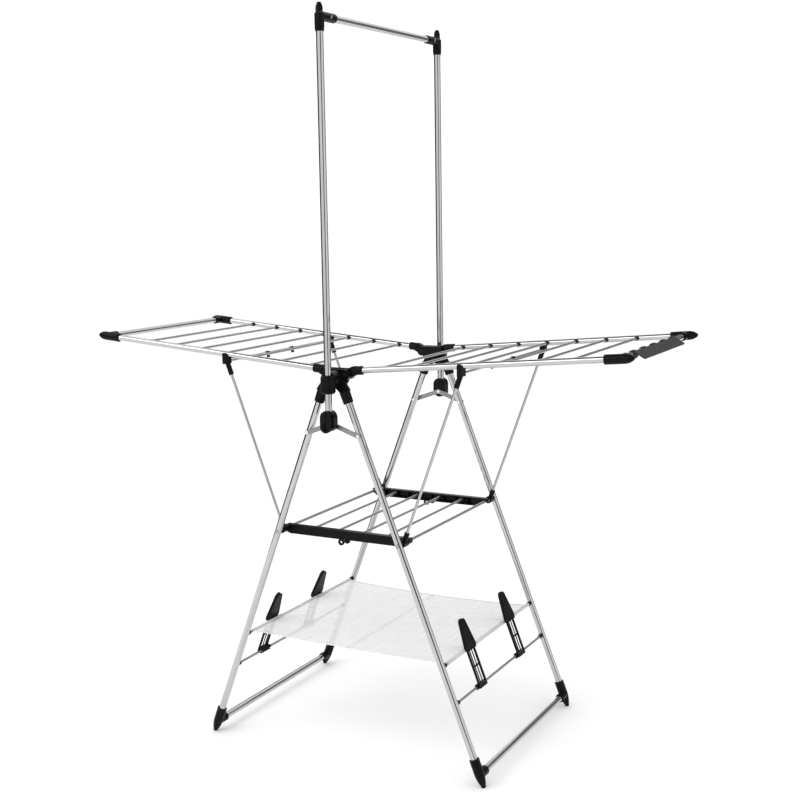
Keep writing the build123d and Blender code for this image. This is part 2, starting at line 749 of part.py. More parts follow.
def strut_collar(side):
    """Front collar that turns on the pivot rod, with a sleeve for the strut."""
    collar = along_y(0, 0, -strut_collar_y - strut_collar_width, -strut_collar_y, strut_collar_r)
    collar = chamfer(collar.edges().filter_by(GeomType.CIRCLE), collar_chamfer)
    body = collar + rod((0, -wing_y, 0), (0, -wing_y, strut_sleeve_length), strut_sleeve_r)
    body -= along_y(0, 0, -strut_collar_y - 2 * strut_collar_width, 0, pivot_rod_r + running_gap)
    return on_strut(side) * body - strut_frame(side, strut_rod_r + fit_gap)


def strut_fork(side):
    """Front fork on the strut's upper corner: an outer leaf and an inner prong straddle the wing tube."""
    x = side * strut_top_x
    half = fork_width / 2
    tube_r = wing_tube_r + clear_gap
    outer_y = -wing_y - tube_r - fork_leaf
    inner_y = -wing_y + tube_r + fork_prong
    low = cross_rod_z - strut_rod_r - fork_below_rod
    slope = fork_width * sin(radians(wing_tilt))
    body = box_between((x - half, outer_y, low), (x + half, inner_y, fork_tube_z - fork_leaf))
    leaf = box_between((x - half, outer_y, low), (x + half, outer_y + fork_leaf, fork_tube_z + fork_leaf_over))
    body += fillet(leaf.edges().filter_by(Axis.Y).group_by(Axis.Z)[-1], fork_leaf_round)
    ends = [(side * end_x, -wing_y, wing_tube_z(end_x))
            for end_x in (strut_top_x - 2 * fork_width, strut_top_x + 2 * fork_width)]
    tube = rod(ends[0], ends[1], tube_r)
    body -= tube
    body -= Pos(0, 0, slope / 2 + wing_tube_r) * tube
    sleeve_end = strut_length - fork_sleeve_gap
    sleeve = rod((0, -wing_y, strut_length - strut_bend_r - fork_sleeve_length), (0, -wing_y, sleeve_end),
                 strut_sleeve_r)
    body += on_strut(side) * sleeve
    return body - strut_frame(side, strut_rod_r + fit_gap)


def cross_clip(side, place):
    """Small snap clip on the strut's cross rod, with a tail that points down the strut."""
    end = place + cross_clip_length
    ring = along_y(0, strut_length, place, end, cross_clip_r)
    half = cross_clip_tail_width / 2
    tail = box_between((-half, place, strut_length - cross_clip_tail), (half, end, strut_length - strut_rod_r))
    body = ring + tail - along_y(0, strut_length, place - 1, end + 1, strut_rod_r + fit_gap)
    return on_strut(side) * body


# ---------------------------------------------------------------- shelf
def rail_outline():
    """Outline of a shelf rail in XZ, with the saddle's notch at its right end."""
    left = -pivot_rod_x
    right = pivot_rod_x
    notch = pivot_rod_r + saddle_gap
    lip = right + notch + saddle_lip
    lip_z = pivot_rod_z - saddle_lip_drop
    top = rail_top_z
    return Polyline((left, top), (lip - 2, top), (lip, top - 2), (lip, lip_z), (right + notch, lip_z),
                    (right + notch, pivot_rod_z), (right - notch, pivot_rod_z),
                    (right - saddle_slope, rail_bottom_z), (left + rail_ring_r, rail_bottom_z),
                    (left, rail_bottom_z + rail_end_rise), close=True)


def rail_ears():
    """Ring and lug under the middle of a shelf rail."""
    outer = -rail_outer_y
    ring = along_y(ear_ring_x, rail_bottom_z - ear_ring_drop, outer, outer + ear_width, ear_ring_r)
    lug = along_y(ear_lug_x, rail_bottom_z - ear_lug_drop, outer, outer + ear_width, ear_lug_r)
    bore = along_y(ear_ring_x, rail_bottom_z - ear_ring_drop, outer - 1, outer + ear_width + 1, ear_ring_bore)
    return ring + lug - bore


def shelf_rail():
    """Front shelf rail: a channel open to the inside, a ring on the left rod, a saddle on the right rod."""
    left = -pivot_rod_x
    right = pivot_rod_x
    outer = -rail_outer_y
    inner = outer + rail_width
    pocket_left = left + rail_ring_r + pocket_margin
    pocket_right = right - saddle_slope - pocket_margin
    body = slab(rail_outline(), outer, inner)
    body -= box_between((pocket_left, outer + rail_wall, rail_bottom_z + rail_wall),
                        (pocket_right, inner + 1, rail_top_z - rail_wall))
    rib_count = int((pocket_right - pocket_left) // rib_pitch)
    for index in range(rib_count):
        x = pocket_left + (index + 0.5) * (pocket_right - pocket_left) / rib_count
        body += box_between((x - rib_width / 2, outer + rail_wall / 2, rail_bottom_z + rail_wall / 2),
                            (x + rib_width / 2, inner - rib_setback, rail_top_z - rail_wall / 2))
    for x in shelf_rod_places():
        body += along_y(x, pivot_rod_z, outer + rail_wall / 2, inner, rod_r + shelf_boss_wall)
    body += along_y(left, pivot_rod_z, outer, inner, rail_ring_r)
    body += rail_ears()
    for x in shelf_rod_places():
        body -= along_y(x, pivot_rod_z, outer + rail_wall, inner + 1, rod_r + fit_gap)
    body -= along_y(left, pivot_rod_z, outer - 1, inner + 1, pivot_rod_r + running_gap)
    body -= along_y(right, pivot_rod_z, outer - 1, inner + 1, pivot_rod_r + saddle_gap)
    return largest(body)


def shelf_rod_places():
    """X of the shelf rods, spread evenly about the middle."""
    return [(index - (shelf_rod_count - 1) / 2) * shelf_rod_pitch for index in range(shelf_rod_count)]


def shelf_rod(x):
    """One rod of the shelf."""
    end = rail_outer_y - rail_wall - fit_gap
    return along_y(x, pivot_rod_z, -end, end, rod_r)


# ---------------------------------------------------------------- clip strip and shoe holders
def strip_hook(y):
    """One hook of the clip strip: a ring round the end bar, open on the outer side."""
    inner = wing_tube_r + hook_gap
    outer = inner + hook_wall
    ring = along_y(0, 0, y, y + hook_width, outer)
    mouth = box_between((inner * 0.4, y - 1, -outer), (3 * outer, y + hook_width + 1, outer))
    return ring - Rot(0, hook_mouth, 0) * mouth


def clip_strip():
    """Flap with hooks that snap round the right wing's end bar and hangs outwards."""
    inner = wing_tube_r + hook_gap
    end_y = strip_start_y + strip_length
    flap = box_between((0, strip_start_y, inner), (strip_width, end_y, inner + strip_thickness))
    body = fillet(flap.edges().filter_by(Axis.Z), strip_corner_r)
    step = (strip_length - hook_width) / (hook_count - 1)
    for index in range(hook_count):
        body += strip_hook(strip_start_y + index * step)
    body -= along_y(0, 0, strip_start_y - 1, end_y + 1, inner)
    return on_wing(1) * Pos(end_bar_at, 0, wing_tube_offset) * Rot(0, strip_tilt + wing_tilt, 0) * largest(body)


def holder_leaf(low, tip):
    """Outline of a shoe holder's upper leaf, from its shoulder at one height to its round tip at another."""
    wide = low + holder_shoulder_height
    shoulder = holder_shoulder_half_width
    tip_middle = tip - holder_tip_r
    flanks = make_face(Polyline((-shoulder + holder_notch, low), (shoulder - holder_notch, low),
                                (shoulder, wide), (holder_tip_r, tip_middle), (-holder_tip_r, tip_middle),
                                (-shoulder, wide), close=True))
    return flanks + Pos(0, tip_middle) * Circle(holder_tip_r)


def holder_grid(low, high):
    """Slotted plate of a shoe holder between two heights: thick edges, thin bars and one cross bar."""
    inner_half = holder_half_width - holder_edge_bar
    slots_width = 2 * inner_half - (holder_slots - 1) * holder_inner_bar
    pitch = slots_width / holder_slots + holder_inner_bar
    thin = Pos(0, (low + high) / 2) * Rectangle(2 * inner_half + 1, holder_cross_bar)
    for index in range(holder_slots - 1):
        y = (index - (holder_slots - 2) / 2) * pitch
        thin += Pos(y, (low + high) / 2) * Rectangle(holder_inner_bar, high - low)
    edge = Rectangle(holder_edge_bar, high - low)
    edge_y = holder_half_width - holder_edge_bar / 2
    edges = [extrude(Plane.YZ * Pos(sign * edge_y, (low + high) / 2) * edge, holder_edge_thickness)
             for sign in (-1, 1)]
    return extrude(Plane.YZ * thin, holder_bar_thickness) + edges[0] + edges[1]


def shoe_holder(side, place):
    """Slotted paddle that slides on the lower rod and leans on the upper rod."""
    low_z = -leg_length + lower_rod_height
    shoulder_z = -leg_length + upper_rod_height - holder_shoulder_rise
    tip_z = -leg_length + holder_tip_height
    face_x = leg_offset + hem_r + clear_gap
    block_low = low_z - holder_clip_half_height
    block_high = low_z + holder_clip_half_height
    leaf = extrude(Plane.YZ * holder_leaf(shoulder_z, tip_z), holder_leaf_thickness)
    grid = holder_grid(low_z, shoulder_z + holder_margin)
    width = holder_half_width
    clip = along_y(leg_offset, low_z, -width, width, holder_clip_r)
    clip += box_between((leg_offset, -width, block_low), (face_x + holder_edge_thickness, width, block_high))
    clip -= box_between((leg_offset - 2 * holder_clip_r, -2 * width, low_z - rod_r * 0.8),
                        (leg_offset, 2 * width, low_z + rod_r * 0.8))
    body = Pos(face_x, 0, 0) * (leaf + grid) + clip
    body -= along_y(leg_offset, low_z, -2 * width, 2 * width, rod_r + running_gap)
    if side < 0:
        body = body.mirror(Plane.YZ)
    return on_leg(side) * Pos(0, place, 0) * body


def sweater_net():
    """Net stretched between the two hems."""
    rod_local_z = -leg_length + upper_rod_height
    z = hub_z + leg_offset * sin(radians(leg_tilt)) + rod_local_z * cos(radians(leg_tilt))
    x = leg_world_x(leg_offset, rod_local_z) - hem_r - clear_gap
    return box_between((-x, -net_half_depth, z - net_thickness / 2), (x, net_half_depth, z + net_thickness / 2))


# ---------------------------------------------------------------- assembly
os.makedirs("parts", exist_ok=True)

save("hub_blocks", *front_and_rear(hub_core()))
save("pole_guides", *front_and_rear(pole_guide()))
save("hub_bolts", *front_and_rear(hub_bolt()))
save("wing_pins", *front_and_rear(wing_pin(-1)), *front_and_rear(wing_pin(1)))
save("sweater_net", sweater_net())

for side, name in ((-1, "left"), (1, "right")):
    save(f"{name}_leg_sockets", *front_and_rear(leg_socket(side)))
    save(f"{name}_leg_tubes", *front_and_rear(leg_tube(side)))
    save(f"{name}_feet", *front_and_rear(foot(side)))
    save(f"{name}_foot_bar", foot_bar(side))
    save(f"{name}_side_rods", side_rod(side, upper_rod_height), side_rod(side, lower_rod_height))
    save(f"{name}_rod_plugs", *front_and_rear(rod_plug(side, upper_rod_height)),
         *front_and_rear(rod_plug(side, lower_rod_height)))
    save(f"{name}_pivot_rod", pivot_rod(side))
    save(f"{name}_link_rivets", *front_and_rear(link_rivet(side)))
    save(f"{name}_net_hem", net_hem(side))
    save(f"{name}_links", *front_and_rear(spreader_link(side)))
    save(f"{name}_wing_sockets", *front_and_rear(wing_socket(side)))
    save(f"{name}_wing_side_tubes", *front_and_rear(wing_side_tube(side)))
    save(f"{name}_wing_end_bar", wing_end_bar(side))
    save(f"{name}_corner_fittings", *front_and_rear(corner_fitting(side)))
    save(f"{name}_wing_rods", *[wing_rod(side, place) for place in wing_rod_places()])
    save(f"{name}_wing_rod_clips",
         *[piece for place in wing_rod_places() for piece in front_and_rear(wing_rod_clip(side, place))])
    save(f"{name}_strut_frame", strut_frame(side))
    save(f"{name}_strut_fittings", *front_and_rear(strut_fork(side)), *front_and_rear(strut_collar(side)))
    save(f"{name}_strut_clips", *[cross_clip(side, place) for place in cross_clip_places])

save("link_centre_heads", *front_and_rear(link_centre_head()))
save("shelf_rails", *front_and_rear(shelf_rail()))
save("shelf_rods", *[shelf_rod(x) for x in shelf_rod_places()])
save("garment_poles", *front_and_rear(garment_pole()))
save("garment_bar", garment_bar())
save("top_fittings", *front_and_rear(top_fitting()))
save("top_screws", *front_and_rear(top_screw()))
save("pole_brackets", *front_and_rear(pole_bracket()))
save("clip_strip", clip_strip())
for name, (side, place) in holder_places.items():
    save(f"{name}_shoe_holder", shoe_holder(side, place))
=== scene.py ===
"""Looks of a winged clothes drying rack: steel tubes and rods, moulded plastic fittings and a sewn net.

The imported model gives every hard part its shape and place. This script gives each of them a finish,
sews the sweater net with its hems, and sets up a plain studio. Lengths are in metres.
"""

import logging
from dataclasses import dataclass, field
from enum import Enum
from math import atan2, cos, pi, radians, sin

import bmesh
import bpy
from mathutils import Matrix, Vector


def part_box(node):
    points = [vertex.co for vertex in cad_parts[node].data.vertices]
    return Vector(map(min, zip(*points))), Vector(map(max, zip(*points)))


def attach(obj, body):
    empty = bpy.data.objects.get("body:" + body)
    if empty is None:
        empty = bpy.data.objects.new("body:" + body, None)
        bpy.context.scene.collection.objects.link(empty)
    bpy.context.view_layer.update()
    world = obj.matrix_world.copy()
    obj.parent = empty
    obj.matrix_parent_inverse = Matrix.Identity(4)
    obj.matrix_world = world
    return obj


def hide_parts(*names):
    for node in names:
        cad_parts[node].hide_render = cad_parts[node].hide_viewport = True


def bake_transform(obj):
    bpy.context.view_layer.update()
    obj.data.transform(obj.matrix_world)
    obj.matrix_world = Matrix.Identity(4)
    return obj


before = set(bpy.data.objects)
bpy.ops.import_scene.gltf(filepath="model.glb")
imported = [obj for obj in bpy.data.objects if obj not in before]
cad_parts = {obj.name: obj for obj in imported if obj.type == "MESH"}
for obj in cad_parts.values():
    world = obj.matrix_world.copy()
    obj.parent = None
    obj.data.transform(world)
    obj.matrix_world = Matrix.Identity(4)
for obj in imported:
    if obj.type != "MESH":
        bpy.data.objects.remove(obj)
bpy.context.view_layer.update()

logging.basicConfig(level=logging.INFO, format="%(message)s")
log = logging.getLogger("drying_rack")

SIDES = {"left": -1, "right": 1}
MM = 0.001
LEAN_STEPS = 6
X_AXIS, Y_AXIS, Z_AXIS = Vector((1, 0, 0)), Vector((0, 1, 0)), Vector((0, 0, 1))
Colour = tuple[float, float, float]


class Hold(Enum):
    """How a sheet of cloth is held."""

    DRAPED = "draped"
    HUNG = "hung"
    STRETCHED = "stretched"


# ------------------------------------------------------------------ shader maths
class Wire:
    """One output of a shader node. Python's operators join wires and numbers through Math nodes."""

    def __init__(self, shader: "Shader", socket: bpy.types.NodeSocket) -> None:
        """Keeps the socket.

        Args:
            shader: the shader that the socket belongs to.
            socket: the output socket.
        """
        self.shader = shader
        self.socket = socket

    def _math(self, operation: str, first: "Wire | float", second: "Wire | float") -> "Wire":
        """Adds one Math node.

        Args:
            operation: the node's operation.
            first: first input.
            second: second input.

        Returns:
            The node's output.
        """
        node = self.shader.node("ShaderNodeMath", {"operation": operation}, {0: first, 1: second})
        return Wire(self.shader, node.outputs[0])

    def __add__(self, other: "Wire | float") -> "Wire":
        """This wire plus another."""
        return self._math("ADD", self, other)

    def __radd__(self, other: "Wire | float") -> "Wire":
        """A number plus this wire."""
        return self._math("ADD", other, self)

    def __sub__(self, other: "Wire | float") -> "Wire":
        """This wire less another."""
        return self._math("SUBTRACT", self, other)

    def __rsub__(self, other: "Wire | float") -> "Wire":
        """A number less this wire."""
        return self._math("SUBTRACT", other, self)

    def __mul__(self, other: "Wire | float") -> "Wire":
        """This wire times another."""
        return self._math("MULTIPLY", self, other)

    def __rmul__(self, other: "Wire | float") -> "Wire":
        """A number times this wire."""
        return self._math("MULTIPLY", other, self)

    def sine(self) -> "Wire":
        """Sine of this wire."""
        return self._math("SINE", self, 0.0)

    def above(self, edge: float) -> "Wire":
        """1 where this wire is above an edge, and 0 elsewhere."""
        return self._math("GREATER_THAN", self, edge)

    def larger(self, other: "Wire | float") -> "Wire":
        """The larger of this wire and another."""
        return self._math("MAXIMUM", self, other)

    def size(self) -> "Wire":
        """This wire without its sign."""
        return self._math("ABSOLUTE", self, 0.0)

    def between(self, low: float, high: float) -> "Wire":
        """This wire spread from 0 at one value to 1 at another, held at both ends.

        Args:
            low: the value that gives 0.
            high: the value that gives 1.

        Returns:
            The spread wire.
        """
        node = self.shader.node(
            "ShaderNodeMapRange", {"clamp": True}, {"Value": self, "From Min": low, "From Max": high}
        )
        return Wire(self.shader, node.outputs[0])


class Shader:
    """A material with one Principled surface, built with short calls."""

    def __init__(self, name: str) -> None:
        """Makes an empty material.

        Args:
            name: the material's name.
        """
        self.material = bpy.data.materials.new(name)
        self.material.use_nodes = True
        self.tree = self.material.node_tree
        self.tree.nodes.clear()
        output = self.tree.nodes.new("ShaderNodeOutputMaterial")
        self.surface = self.tree.nodes.new("ShaderNodeBsdfPrincipled")
        self.tree.links.new(self.surface.outputs["BSDF"], output.inputs["Surface"])

    def node(self, kind: str, settings: dict | None = None, sockets: dict | None = None) -> bpy.types.Node:
        """Adds a node.

        Args:
            kind: the node's type.
            settings: its properties, set first.
            sockets: values or wires for its inputs, by name or number.

        Returns:
            The node.
        """
        node = self.tree.nodes.new(kind)
        for key, value in (settings or {}).items():
            setattr(node, key, value)
        for key, value in (sockets or {}).items():
            self.feed(node.inputs[key], value)
        return node

    def feed(self, socket: bpy.types.NodeSocket, value: "Wire | float | tuple") -> None:
        """Gives an input a value or a link.

        Args:
            socket: the input.
            value: a wire, a number, or a colour or vector.
        """
        if isinstance(value, Wire):
            self.tree.links.new(value.socket, socket)
        elif isinstance(value, tuple) and socket.type == "RGBA":
            socket.default_value = (*value, 1.0)
        else:
            socket.default_value = value

    def set(self, **inputs: "Wire | float | tuple") -> None:
        """Feeds the surface's inputs, named with _ for each space.

        Args:
            **inputs: values or wires.
        """
        for name, value in inputs.items():
            self.feed(self.surface.inputs[name.replace("_", " ").title().replace("Ior", "IOR")], value)

    def place(self, along: Vector | None = None, stretch: float = 1.0) -> Wire:
        """Object coordinates, turned so that Z follows a direction and drawn out along it.

        Args:
            along: the direction, or None to keep the object's axes.
            stretch: how many times longer a pattern is along the direction than across it.

        Returns:
            The coordinates.
        """
        coordinates = Wire(self, self.node("ShaderNodeTexCoord").outputs["Object"])
        turn = Z_AXIS.rotation_difference(along or Z_AXIS).to_euler()
        node = self.node(
            "ShaderNodeMapping",
            {"vector_type": "TEXTURE"},
            {"Vector": coordinates, "Rotation": tuple(turn), "Scale": (1.0, 1.0, stretch)},
        )
        return Wire(self, node.outputs["Vector"])

    def noise(self, place: Wire, grain: float, detail: float = 3.0, harshness: float = 0.5) -> Wire:
        """Smooth random pattern around 0.5.

        Args:
            place: coordinates.
            grain: size of its patches, in metres.
            detail: number of finer layers.
            harshness: strength of the finer layers.

        Returns:
            The pattern.
        """
        node = self.node(
            "ShaderNodeTexNoise",
            None,
            {"Vector": place, "Scale": 1.0 / grain, "Detail": detail, "Roughness": harshness},
        )
        return Wire(self, node.outputs[0])

    def blend(self, share: "Wire | float", first: "Wire | Colour", second: "Wire | Colour") -> Wire:
        """Mixes two colours.

        Args:
            share: 0 gives the first, 1 the second.
            first: first colour.
            second: second colour.

        Returns:
            The mixed colour.
        """
        node = self.node("ShaderNodeMix", {"data_type": "RGBA"})
        self.feed(node.inputs["Factor"], share)
        colours = [socket for socket in node.inputs if socket.type == "RGBA"]
        self.feed(colours[0], first)
        self.feed(colours[1], second)
        return Wire(self, next(socket for socket in node.outputs if socket.type == "RGBA"))

    def bump(self, height: Wire, depth: float, strength: float, rounding: float = 0.0) -> Wire:
        """Normals of a surface with relief.

        Args:
            height: the relief, from 0 to 1.
            depth: the height of its full range, in metres.
            strength: share of the effect that is kept.
            rounding: radius that sharp edges look rounded by, in metres.

        Returns:
            The normals.
        """
        sockets = {"Height": height, "Distance": depth, "Strength": strength}
        if rounding:
            bevel = self.node("ShaderNodeBevel", {"samples": 4}, {"Radius": rounding})
            sockets["Normal"] = Wire(self, bevel.outputs[0])
        return Wire(self, self.node("ShaderNodeBump", None, sockets).outputs[0])

    def axis(self, place: Wire, number: int) -> Wire:
        """One coordinate.

        Args:
            place: coordinates.
            number: 0 for X, 1 for Y, 2 for Z.

        Returns:
            The coordinate.
        """
        return Wire(self, self.node("ShaderNodeSeparateXYZ", None, {0: place}).outputs[number])


# ------------------------------------------------------------------ finishes
@dataclass(frozen=True)
class DrawnSteel:
    """Steel tube or rod with the fine lengthwise lines that drawing and polishing leave."""

    name: str
    colour: Colour = (0.60, 0.60, 0.61)
    shadow: Colour = (0.43, 0.43, 0.44)
    roughness: float = 0.07
    spread: float = 0.05
    line: float = 0.5 * MM
    stretch: float = 160.0
    relief: float = 0.003 * MM
    band: float = 1.6 * MM
    handling: float = 60 * MM
    speck: float = 0.9 * MM
    plug: Colour = (0.005, 0.005, 0.005)

    def material(self, along: Vector, plug_above: float | None = None) -> bpy.types.Material:
        """Makes the material.

        Args:
            along: direction of the tube or rod.
            plug_above: height above which the tube's end is dark, or None.

        Returns:
            The material.
        """
        shader = Shader(self.name)
        drawn = shader.place(along, self.stretch)
        lines = shader.noise(drawn, self.line, detail=4.0, harshness=0.65)
        bands = shader.noise(drawn, self.band, detail=2.0)
        handled = shader.noise(shader.place(), self.handling, detail=3.0).between(0.42, 0.72)
        specks = shader.noise(shader.place(), self.speck, detail=2.0).between(0.70, 0.78)
        tone = (lines * 0.55 + bands * 0.45).between(0.36, 0.62)
        steel = shader.blend(specks * 0.5, shader.blend(tone, self.shadow, self.colour), self.shadow)
        metal = 1.0
        if plug_above is not None:
            plugged = shader.axis(shader.place(), 2).above(plug_above)
            steel = shader.blend(plugged, steel, self.plug)
            metal = 1.0 - plugged
        shader.set(
            base_color=steel,
            metallic=metal,
            roughness=(
                handled * (0.6 * self.spread) + lines * self.spread + (self.roughness - 0.4 * self.spread)
            ),
            normal=shader.bump(lines + specks * 0.4, self.relief, 0.5),
        )
        return shader.material


@dataclass(frozen=True)
class MouldedPlastic:
    """Glossy moulded plastic with a faint skin, scuffs and softly rounded edges."""

    name: str
    colour: Colour = (0.004, 0.004, 0.0045)
    worn: Colour = (0.012, 0.012, 0.0125)
    shine: float = 0.09
    roughness: float = 0.25
    skin: float = 0.7 * MM
    relief: float = 0.020 * MM
    rounding: float = 0.7 * MM
    scuff: float = 9 * MM
    dust: float = 35 * MM
    flow: float = 1.0

    def material(self, along: Vector | None = None) -> bpy.types.Material:
        """Makes the material.

        Args:
            along: direction that the melt ran in, or None.

        Returns:
            The material.
        """
        shader = Shader(self.name)
        place = shader.place(along, self.flow)
        skin = shader.noise(place, self.skin, detail=2.0)
        scuffs = shader.noise(place, self.scuff, detail=6.0, harshness=0.7).between(0.56, 0.70)
        dust = shader.noise(shader.place(), self.dust, detail=4.0).between(0.40, 0.75)
        shader.set(
            base_color=shader.blend(scuffs * 0.6 + dust * 0.25, self.colour, self.worn),
            roughness=scuffs * 0.16 + dust * 0.08 + skin * 0.06 + (self.roughness - 0.04),
            normal=shader.bump(skin, self.relief, 0.6, self.rounding),
            specular_ior_level=self.shine,
        )
        return shader.material


@dataclass(frozen=True)
class StampedSteel:
    """Flat or headed steel: links, rivets, screws and pins, with a satin surface."""

    name: str
    colour: Colour = (0.55, 0.55, 0.56)
    dull: Colour = (0.34, 0.34, 0.35)
    roughness: float = 0.32
    grain: float = 0.5 * MM
    stretch: float = 25.0
    relief: float = 0.02 * MM
    patch: float = 6 * MM
    rounding: float = 0.35 * MM

    def material(self, along: Vector) -> bpy.types.Material:
        """Makes the material.

        Args:
            along: direction of the brushing.

        Returns:
            The material.
        """
        shader = Shader(self.name)
        brushed = shader.noise(shader.place(along, self.stretch), self.grain, detail=4.0, harshness=0.6)
        patches = shader.noise(shader.place(), self.patch, detail=4.0).between(0.42, 0.68)
        shader.set(
            base_color=shader.blend(brushed * 0.5 + patches * 0.4, self.colour, self.dull),
            metallic=1.0,
            roughness=brushed * 0.18 + patches * 0.10 + (self.roughness - 0.12),
            normal=shader.bump(brushed, self.relief, 0.5, self.rounding),
        )
        return shader.material


@dataclass(frozen=True)
class OpenWeave:
    """White net: warp and weft threads with open cells, and denser bands where it is hemmed."""

    name: str = "net_weave"
    thread: Colour = (0.90, 0.90, 0.90)
    shade: Colour = (0.78, 0.78, 0.785)
    pitch: float = 1.5 * MM
    relief: float = 0.15 * MM
    cover: float = 0.52
    tape_cover: float = 0.96
    drift: float = 14 * MM
    weft_patch: tuple[float, float] = (90 * MM, 1.6 * MM)
    warp_patch: tuple[float, float] = (2.2 * MM, 120 * MM)
    seam: float = 0.02 * MM

    def material(self, half_width: float, half_depth: float, tape: float) -> bpy.types.Material:
        """Makes the material. The mesh's UV map holds flat places in metres from the net's middle.

        Args:
            half_width: half of the net's flat width; not used.
            half_depth: half of its flat depth.
            tape: width of the hemmed band along the front and rear edges.

        Returns:
            The material.
        """
        shader = Shader(self.name)
        flat = Wire(shader, shader.node("ShaderNodeUVMap", {"uv_map": "flat"}).outputs[0])
        across, along = shader.axis(flat, 0), shader.axis(flat, 1)
        turn = 2 * pi / self.pitch
        threads = (across * turn).sine().larger((along * turn).sine()).between(-0.35, 0.55)
        drift = shader.noise(flat, self.drift, detail=3.0)
        weft = self._streaks(shader, flat, self.weft_patch).between(0.38, 0.66)
        warp = self._streaks(shader, flat, self.warp_patch).between(0.42, 0.70)
        edge = (along.size() - (half_depth - tape)).above(0.0)
        cells = threads * 0.20 + weft * 0.16 + warp * 0.10 + drift * 0.06 + (self.cover - 0.20)
        tone = weft * 0.5 + warp * 0.3 + drift * 0.2
        away_from_seam = across.size().above(self.seam)
        shader.set(
            base_color=shader.blend(tone, self.shade, self.thread),
            alpha=(cells + edge * (self.tape_cover - self.cover)) * away_from_seam,
            roughness=threads * 0.10 + 0.72,
            normal=shader.bump(threads, self.relief, 0.5),
        )
        return shader.material

    @staticmethod
    def _streaks(shader: Shader, flat: Wire, patch: tuple[float, float]) -> Wire:
        """Random streaks where threads lie closer together.

        Args:
            shader: the shader.
            flat: flat places in metres.
            patch: width and depth of a streak, in metres.

        Returns:
            The pattern, around 0.5.
        """
        node = shader.node(
            "ShaderNodeMapping", {"vector_type": "TEXTURE"}, {"Vector": flat, "Scale": (*patch, 1.0)}
        )
        return shader.noise(Wire(shader, node.outputs["Vector"]), 1.0, detail=3.0)


@dataclass(frozen=True)
class SewnTape:
    """Closely woven white tape of the hems, with painted shade in its creases."""

    name: str = "hem_tape"
    thread: Colour = (0.90, 0.90, 0.90)
    shade: Colour = (0.76, 0.76, 0.77)
    pitch: float = 0.9 * MM
    relief: float = 0.12 * MM
    cover: float = 0.42
    fuzz: float = 1.3 * MM
    # Patch size of the painted crease shade that darkens the tape's colour.
    crease: float = 20 * MM

    def material(self) -> bpy.types.Material:
        """Makes the material.

        Returns:
            The material.
        """
        shader = Shader(self.name)
        place = shader.place()
        turn = 2 * pi / self.pitch
        ribs = (shader.axis(place, 1) * turn).sine() * 0.5 + 0.5
        fuzz = shader.noise(place, self.fuzz, detail=4.0)
        # Painted shade: crease-sized patches darken the tape's colour towards its shade colour, with no
        # change to its shape or roughness.
        painted_crease_shade = shader.noise(place, self.crease, detail=3.0).between(0.35, 0.70)
        shader.set(
            base_color=shader.blend(ribs * 0.4 + fuzz * 0.3 + painted_crease_shade * 0.3, self.shade, self.thread),
            roughness=fuzz * 0.12 + 0.74,
            alpha=ribs * 0.15 + fuzz * 0.10 + self.cover,
            normal=shader.bump(ribs * 0.6 + fuzz * 0.4, self.relief, 0.6),
        )
        return shader.material


# ------------------------------------------------------------------ helpers
def lean(node: str, radius: float) -> float:
    """How far a straight tube leans from upright in XZ, worked out from its box.

    Args:
        node: the tube's node.
        radius: the tube's radius.

    Returns:
        The lean, in radians.
    """
    low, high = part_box(node)
    width, height = high.x - low.x, high.z - low.z
    angle = atan2(width, height)
    for _ in range(LEAN_STEPS):
        angle = atan2(width - 2 * radius * cos(angle), height - 2 * radius * sin(angle))
    return angle


def dress(material: bpy.types.Material, *nodes: str) -> None:
    """Gives CAD nodes a finish in every material slot.

    Args:
        material: the finish.
        *nodes: the nodes' names.
    """
    for name in nodes:
        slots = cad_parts[name].material_slots
        for slot in slots:
            slot.material = material
        if not slots:
            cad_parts[name].data.materials.append(material)


def finished(name: str, mesh: bmesh.types.BMesh, material: bpy.types.Material) -> bpy.types.Object:
    """Turns a bmesh into a smooth-shaded scene object at the origin.

    Args:
        name: the object's name.
        mesh: its shape, which is freed.
        material: its finish.

    Returns:
        The object.
    """
    data = bpy.data.meshes.new(name)
    mesh.to_mesh(data)
    mesh.free()
    for polygon in data.polygons:
        polygon.use_smooth = True
    data.materials.append(material)
    made = bpy.data.objects.new(name, data)
    bpy.context.scene.collection.objects.link(made)
    return made


# ------------------------------------------------------------------ sub-assemblies
@dataclass
class Hub:
    """The two hubs in the middle: blocks, pole guides, bolts and wing pins."""

    plastic: MouldedPlastic = MouldedPlastic("hub_plastic")
    steel: StampedSteel = StampedSteel(
        "hub_steel", colour=(0.03, 0.03, 0.032), dull=(0.015, 0.015, 0.016), roughness=0.5
    )

    def build(self) -> None:
        """Finishes the hub's nodes."""
        dress(self.plastic.material(), "hub_blocks", "pole_guides")
        dress(self.steel.material(Y_AXIS), "hub_bolts", "wing_pins")


